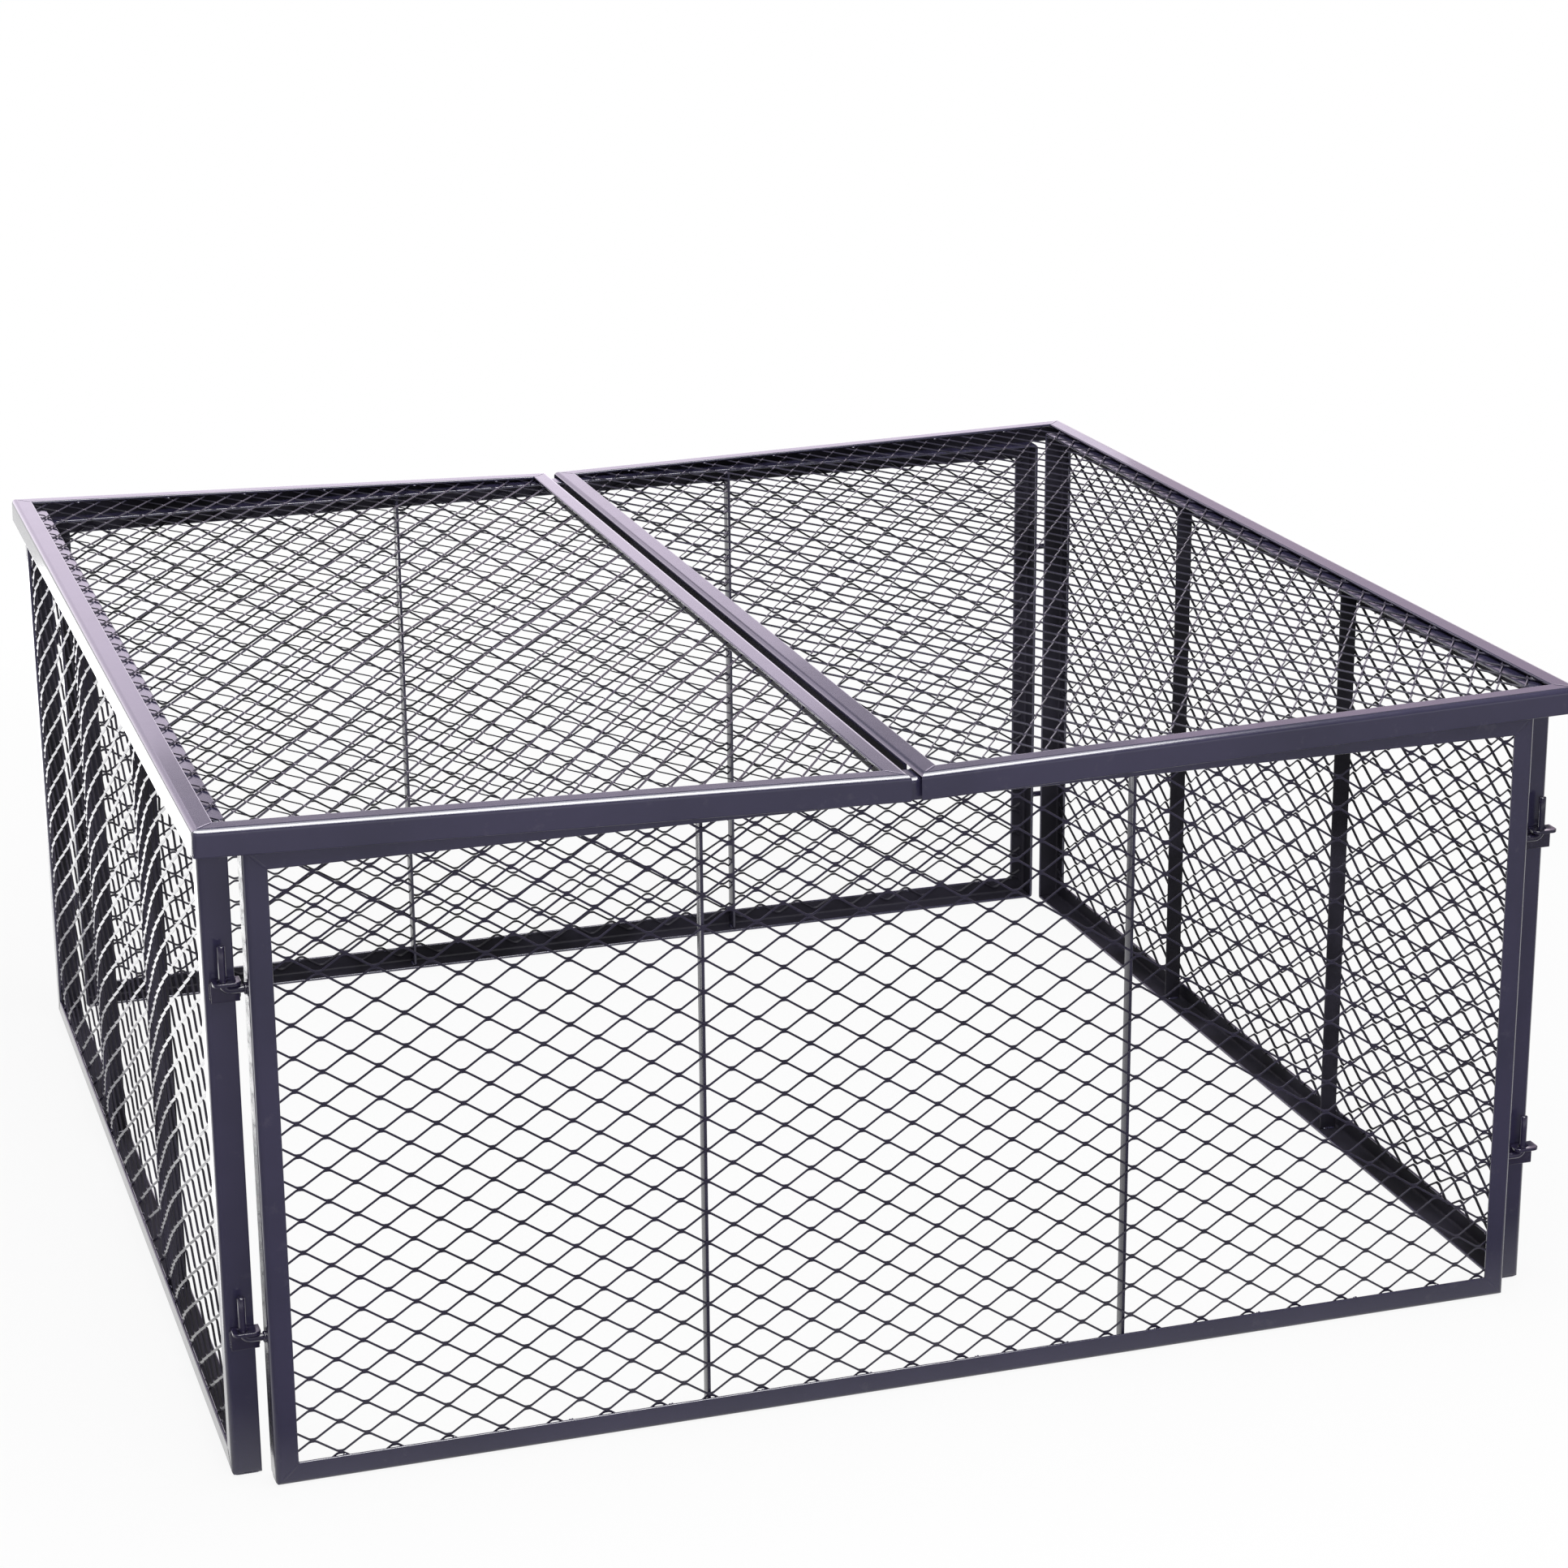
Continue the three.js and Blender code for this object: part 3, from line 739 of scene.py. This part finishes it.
def clip(name, shape):
    """A clip: a drilled plate with rounded front corners and edges, a leg down the flange behind it, and
    a weld down each side of the leg. The plate is a ring whose section runs from the hole to the
    outline along each ray."""
    low, high = node_box(name)
    pin_low, pin_high = node_box(name.replace("clip_", "pin_"))
    sign_x = 1.0 if high[0] + low[0] > 0 else -1.0
    sign_y = 1.0 if high[1] + low[1] > 0 else -1.0
    centre_x = (low[0] + high[0]) / 2
    half = (high[0] - low[0]) / 2
    reach = high[1] - low[1]
    flange = low[1] if sign_y > 0 else high[1]
    hole_x = (pin_high[0] if sign_x > 0 else pin_low[0]) - sign_x * PIN_RADIUS - centre_x
    hole_y = abs((pin_low[1] + pin_high[1]) / 2 - flange)
    corner = CLIP_CORNER
    rim = np.concatenate([
        np.stack([np.linspace(-half, half, 9), np.zeros(9)], axis=-1),
        np.stack([np.full(3, half), np.linspace(0, reach - corner, 4)[1:]], axis=-1),
        arc((half - corner, reach - corner), corner, 0, 90, 10)[1:],
        arc((corner - half, reach - corner), corner, 90, 180, 10),
        np.stack([np.full(3, -half), np.linspace(reach - corner, 0, 4)[1:]], axis=-1)[:-1]])
    ray = rim - (hole_x, hole_y)
    distance = np.linalg.norm(ray, axis=1, keepdims=True)
    ray = ray / distance
    angle = np.radians(np.linspace(0, 90, 5))
    edge, bore = CLIP_EDGE, HOLE_EDGE
    out = np.concatenate([[-edge - SUPPORT], edge * (np.sin(angle) - 1), edge * (np.cos(angle) - 1),
                          [-edge - SUPPORT]])
    drop = np.concatenate([[0.0], edge * (np.cos(angle) - 1), -CLIP_STEEL + edge * (1 - np.sin(angle)),
                           [-CLIP_STEEL]])
    outer = distance + out[None, :]
    inner = np.broadcast_to(HOLE_RADIUS + np.array([bore, 0.0, 0.0, bore]), (len(rim), 4))
    inner_drop = np.array([-CLIP_STEEL, -CLIP_STEEL + bore, -bore, 0.0])
    spread = np.concatenate([outer, inner], axis=1)[..., None]
    level = np.concatenate([drop, inner_drop])
    flat = np.array([hole_x, hole_y]) + ray[:, None, :] * spread
    points = np.stack([centre_x + flat[..., 0], flange + sign_y * flat[..., 1],
                       np.broadcast_to(high[2] + level, flat.shape[:2])], axis=-1)
    shape.tube(points, looped=True)

    leg_low = np.array([low[0], min(flange, flange + sign_y * CLIP_STEEL), low[2]])
    leg_high = np.array([high[0], max(flange, flange + sign_y * CLIP_STEEL),
                         high[2] - CLIP_LEG_GAP])
    flat_bar(leg_low, leg_high, CLIP_EDGE, 0.0, shape)
    for edge_x in (low[0], high[0]):
        start = np.array([edge_x, flange, high[2] - CLIP_BEAD_CLEAR[0]])
        end = np.array([edge_x, flange, low[2] + CLIP_BEAD_CLEAR[1]])
        bead(start, end, np.eye(3)[0], np.eye(3)[1] * sign_y, *CLIP_BEAD, shape)


class Field:
    """A number that varies over a surface. Sums, differences and products add Math nodes."""

    def __init__(self, finish, socket):
        self.finish = finish
        self.socket = socket

    def maths(self, operation, one, two):
        node = self.finish.node("ShaderNodeMath", {"operation": operation}, {0: one, 1: two})
        return Field(self.finish, node.outputs[0])

    def __add__(self, other):
        return self.maths("ADD", self, other)

    __radd__ = __add__

    def __sub__(self, other):
        return self.maths("SUBTRACT", self, other)

    def __rsub__(self, other):
        return self.maths("SUBTRACT", other, self)

    def __mul__(self, other):
        return self.maths("MULTIPLY", self, other)

    __rmul__ = __mul__

    def either(self, other):
        """The larger of the two."""
        return self.maths("MAXIMUM", self, other)


class Finish:
    """A procedural material or world, built node by node."""

    def __init__(self, owner):
        owner.use_nodes = True
        self.owner = owner
        self.nodes = owner.node_tree.nodes
        self.links = owner.node_tree.links
        self.nodes.clear()

    def node(self, kind, settings=None, inputs=None):
        """Adds a node, sets its settings first, then the values or links of its sockets."""
        node = self.nodes.new(kind)
        for name, value in (settings or {}).items():
            setattr(node, name, value)
        for name, value in (inputs or {}).items():
            if isinstance(value, Field):
                self.links.new(value.socket, node.inputs[name])
            elif isinstance(value, bpy.types.NodeSocket):
                self.links.new(value, node.inputs[name])
            else:
                node.inputs[name].default_value = value
        return node

    def noise(self, scale, detail, roughness, shift):
        """Noise on Object coordinates, from 0 to 1 around a half."""
        place = self.node("ShaderNodeTexCoord").outputs["Object"]
        moved = self.node("ShaderNodeMapping", {}, {"Vector": place, "Location": (shift, shift, shift)})
        noise = self.node("ShaderNodeTexNoise", {}, {
            "Vector": moved.outputs[0], "Scale": scale, "Detail": detail, "Roughness": roughness})
        return Field(self, noise.outputs["Fac"])

    def ramp(self, field, low, high):
        """Stretches a field so that low becomes 0 and high becomes 1."""
        node = self.node("ShaderNodeMapRange", {"clamp": True}, {
            "Value": field, "From Min": low, "From Max": high, "To Min": 0.0, "To Max": 1.0})
        return Field(self, node.outputs[0])

    def mix(self, amount, one, two):
        """Colour between one and two."""
        node = self.node("ShaderNodeMix", {"data_type": "RGBA"}, {0: amount})
        for index, colour in ((6, one), (7, two)):
            if isinstance(colour, bpy.types.NodeSocket):
                self.links.new(colour, node.inputs[index])
            else:
                node.inputs[index].default_value = (*colour, 1)
        return node.outputs[2]

    def blend(self, amount, one, two):
        """Shader between one and two."""
        return self.node("ShaderNodeMixShader", {}, {0: amount, 1: one.outputs[0], 2: two.outputs[0]})

    def end(self, kind, shader):
        """Leads a shader to the output node, and gives the finished material or world."""
        out = self.node(kind)
        self.links.new(shader.outputs[0], out.inputs["Surface"])
        return self.owner


def linear(*levels):
    """Linear colour of sRGB levels from 0 to 255."""
    share = np.array(levels) / 255
    return tuple(np.where(share <= 0.04045, share / 12.92, ((share + 0.055) / 1.055) ** 2.4).tolist())


def gloss_paint(name, base, deep, rough, coat, peel, inner):
    """Gloss slate paint: two near shades in soft clouds, uneven gloss, orange peel, dust and a few
    specks. The inner side, if there is one, gets painted shade: a dark, duller paint that stands in for
    the shade there."""
    paint = Finish(bpy.data.materials.new(name))
    clouds = paint.noise(*CLOUDS)
    shade = paint.mix(paint.ramp(clouds, *CLOUD_RANGE), linear(*deep), linear(*base))
    dust = paint.ramp(paint.noise(*DUST), *DUST_RANGE) * DUST_AMOUNT
    shade = paint.mix(dust, shade, linear(*DUST_SHADE))
    specks = paint.ramp(paint.noise(*SPECKS), *SPECK_RANGE) * SPECK_AMOUNT
    shade = paint.mix(specks, shade, linear(*SPECK_SHADE))
    gloss = rough + UNEVEN_GLOSS * (paint.noise(*GLOSS_PATCHES) - 0.5)
    ripple = paint.noise(*RIPPLE)
    sag = paint.noise(*SAG)
    bump = paint.node("ShaderNodeBump", {}, {
        "Strength": peel, "Distance": PEEL_HEIGHT, "Height": ripple * RIPPLE_SHARE + sag})
    outer = paint.node("ShaderNodeBsdfPrincipled", {}, {
        "Base Color": shade, "Roughness": gloss, "Coat Weight": coat, "Coat Roughness": COAT_ROUGHNESS,
        "IOR": PAINT_IOR, "Normal": bump.outputs[0]})
    if inner is None:
        return paint.end("ShaderNodeOutputMaterial", outer)
    # Painted shade: a dark, duller paint in clouds, blended in by each point's share of painted shade.
    painted_shade_colour = paint.mix(paint.ramp(clouds, *PAINTED_SHADE_CLOUD_RANGE), linear(*inner),
                           linear(*PAINTED_SHADE_CLOUD))
    painted_shade_bsdf = paint.node("ShaderNodeBsdfPrincipled", {}, {
        "Base Color": painted_shade_colour, "Roughness": PAINTED_SHADE_ROUGHNESS + 0.2 * (1 - gloss),
        "Specular IOR Level": PAINTED_SHADE_SPECULAR, "Normal": bump.outputs[0]})
    side = paint.node("ShaderNodeAttribute", {"attribute_name": "painted_inner_shade"}).outputs["Fac"]
    both = paint.blend(paint.ramp(Field(paint, side), *PAINTED_SHADE_RANGE), outer, painted_shade_bsdf)
    return paint.end("ShaderNodeOutputMaterial", both)


def build_panels(paints):
    """Every frame member, bar and net as a fine piece in place of its node, and the welds."""
    frame_paint, mesh_paint = paints["frame_paint"], paints["mesh_paint"]
    for panel in PANELS:
        for turn, member in enumerate(MEMBERS[panel.name]):
            node = f"{panel.name}_{member}"
            shape = Shape()
            if member == "inner_rail":
                cut_back_member(panel, turn, shape)
                replaced = (node, f"{node}_leg")
            else:
                at_gap = (panel.is_lid and turn == 1, panel.is_lid and turn == 3)
                angle_member(panel, turn, shape, tuple(not end for end in at_gap))
                replaced = (node,)
            shape.piece(f"{node}_angle", frame_paint, panel.body, replaced)
        node = f"{panel.name}_mesh"
        shape = Shape()
        net(panel, shape)
        shape.piece(f"{node}_strands", mesh_paint, panel.body, (node,), sharp=35.0)
        welds = Shape()
        panel_welds(panel, welds)
        for bar in BARS.get(panel.name, ()):
            node = f"{panel.name}_{bar}"
            low, high = node_box(node)
            if panel.name == "front_wall":
                high[1] = low[1] + FRONT_BAR_DEPTH
            shape = Shape()
            # Painted shade on the bars: part of it on those of the front and back walls, all of it on
            # those of the side walls.
            inner = FRONT_BAR_PAINTED_SHADE if panel.body == ROOT else 1.0
            flat_bar(low, high, BAR_EDGE, inner, shape)
            shape.piece(f"{node}_flat", frame_paint, panel.body, (node,))
            bar_welds(low, high, welds)
        welds.piece(f"{panel.name}_welds", frame_paint, panel.body)


def build_latches(paints):
    """Every pin and clip as a fine piece in place of its node. The clips ride on the side walls."""
    kinds = (("pin", "", pin, ROOT), ("clip", "left", clip, "left_wall"),
             ("clip", "right", clip, "right_wall"))
    for kind, side, maker, body in kinds:
        for name in sorted(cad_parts):
            if name.startswith(kind) and side in name:
                shape = Shape()
                maker(name, shape)
                shape.piece(f"{name}_fine", paints["latch_paint"], body, (name,))


def camera():
    """The photograph's view: yaw about the vertical, then pitch, then roll about the line of sight."""
    yaw, pitch, roll = (math.radians(turn) for turn in CAMERA_TURN)
    ahead = Vector((math.sin(-yaw) * math.cos(pitch), math.cos(yaw) * math.cos(pitch), math.sin(pitch)))
    level = ahead.cross(Vector((0, 0, 1))).normalized()
    rise = level.cross(ahead)
    right = level * math.cos(roll) + rise * math.sin(roll)
    up = -level * math.sin(roll) + rise * math.cos(roll)
    data = bpy.data.cameras.new("photo_camera")
    data.lens = LENS
    data.sensor_width = SENSOR
    data.clip_end = 100
    item = bpy.data.objects.new("photo_camera", data)
    bpy.context.scene.collection.objects.link(item)
    turn = Matrix((right, up, -ahead)).transposed().to_4x4()
    item.matrix_world = Matrix.Translation(CAMERA_PLACE) @ turn
    bpy.context.scene.camera = item


def area_lamp(name, place, aim, size, radiance, lights=True, mirrored=True, colour=(1, 1, 1)):
    """A soft box of an even radiance, which the camera does not see: power is pi times area times
    radiance. lights says whether it lights surfaces, mirrored whether they show its reflection."""
    data = bpy.data.lights.new(name, "AREA")
    data.shape = "RECTANGLE"
    data.size, data.size_y = size
    data.energy = math.pi * size[0] * size[1] * radiance
    data.color = colour
    item = bpy.data.objects.new(name, data)
    bpy.context.scene.collection.objects.link(item)
    item.location = place
    item.rotation_euler = (Vector(aim) - Vector(place)).to_track_quat("-Z", "Y").to_euler()
    item.visible_camera = False
    item.visible_diffuse = lights
    item.visible_glossy = mirrored


def surround():
    """A surround that the camera sees as white. Reflections see it white near the horizon and dim
    above, and it lights the surfaces softly."""
    world = bpy.data.worlds.new("studio")
    bpy.context.scene.world = world
    sky = Finish(world)
    path = sky.node("ShaderNodeLightPath")
    place = sky.node("ShaderNodeTexCoord").outputs["Generated"]
    height = Field(sky, sky.node("ShaderNodeSeparateXYZ", {}, {0: place}).outputs["Z"])
    mirrored = Field(sky, path.outputs["Is Glossy Ray"]) * (1 - sky.ramp(height, *SURROUND_FADE))
    seen = Field(sky, path.outputs["Is Camera Ray"]).either(mirrored)
    lighting = Field(sky, path.outputs["Is Diffuse Ray"])
    strength = seen * SURROUND_SEEN + lighting * SURROUND_LIGHTING + SURROUND
    sky.end("ShaderNodeOutputWorld", sky.node("ShaderNodeBackground", {}, {
        "Color": (1, 1, 1, 1), "Strength": strength}))


def pale_floor():
    """A pale floor that the camera sees mostly as white, and wholly far from the bin. Reflections show
    it darker in front of the bin, and darkest close to it."""
    floor = Finish(bpy.data.materials.new("pale_floor"))
    path = floor.node("ShaderNodeLightPath")
    lit = floor.node("ShaderNodeBsdfDiffuse", {}, {"Color": (FLOOR_SHADE, FLOOR_SHADE, FLOOR_SHADE, 1)})
    white = floor.node("ShaderNodeEmission", {}, {"Strength": 1.0})
    place = floor.node("ShaderNodeTexCoord").outputs["Object"]
    distance = floor.node("ShaderNodeVectorMath", {"operation": "LENGTH"}, {0: place}).outputs["Value"]
    far = floor.ramp(distance, *FLOOR_FADE)
    glossy = Field(floor, path.outputs["Is Glossy Ray"])
    seen = Field(floor, path.outputs["Is Camera Ray"]).either(glossy)
    both = floor.blend(seen * (FLOOR_WHITE + FLOOR_WHITE_FAR * far), lit, white)
    ahead = 0 - Field(floor, floor.node("ShaderNodeSeparateXYZ", {}, {0: place}).outputs["Y"])
    dim = floor.ramp(ahead, *FLOOR_DIM_START) * FLOOR_DIM
    dim = dim - floor.ramp(ahead, *FLOOR_DIM_END) * FLOOR_DIM_LOSS
    dark = floor.node("ShaderNodeBsdfDiffuse", {}, {
        "Color": (FLOOR_DARK_SHADE, FLOOR_DARK_SHADE, FLOOR_DARK_SHADE, 1)})
    material = floor.end("ShaderNodeOutputMaterial", floor.blend(glossy * dim, both, dark))
    mesh = bpy.data.meshes.new("floor")
    reach = FLOOR_REACH
    mesh.from_pydata([(-reach, -reach, 0), (reach, -reach, 0), (reach, reach, 0), (-reach, reach, 0)],
                     [], [(0, 1, 2, 3)])
    mesh.materials.append(material)
    item = bpy.data.objects.new("floor", mesh)
    item.location.z = -FLOOR_DROP
    bpy.context.scene.collection.objects.link(item)


def main():
    """Builds the bin, and the camera, floor and light around it."""
    paints = {slot: gloss_paint(*settings) for slot, settings in PAINTS.items()}
    build_panels(paints)
    build_latches(paints)
    camera()
    surround()
    pale_floor()
    for name, (place, aim, size, radiance, special) in LAMPS.items():
        area_lamp(name, place, aim, size, radiance, **special)
    bpy.context.scene.view_settings.view_transform = "Standard"


main()
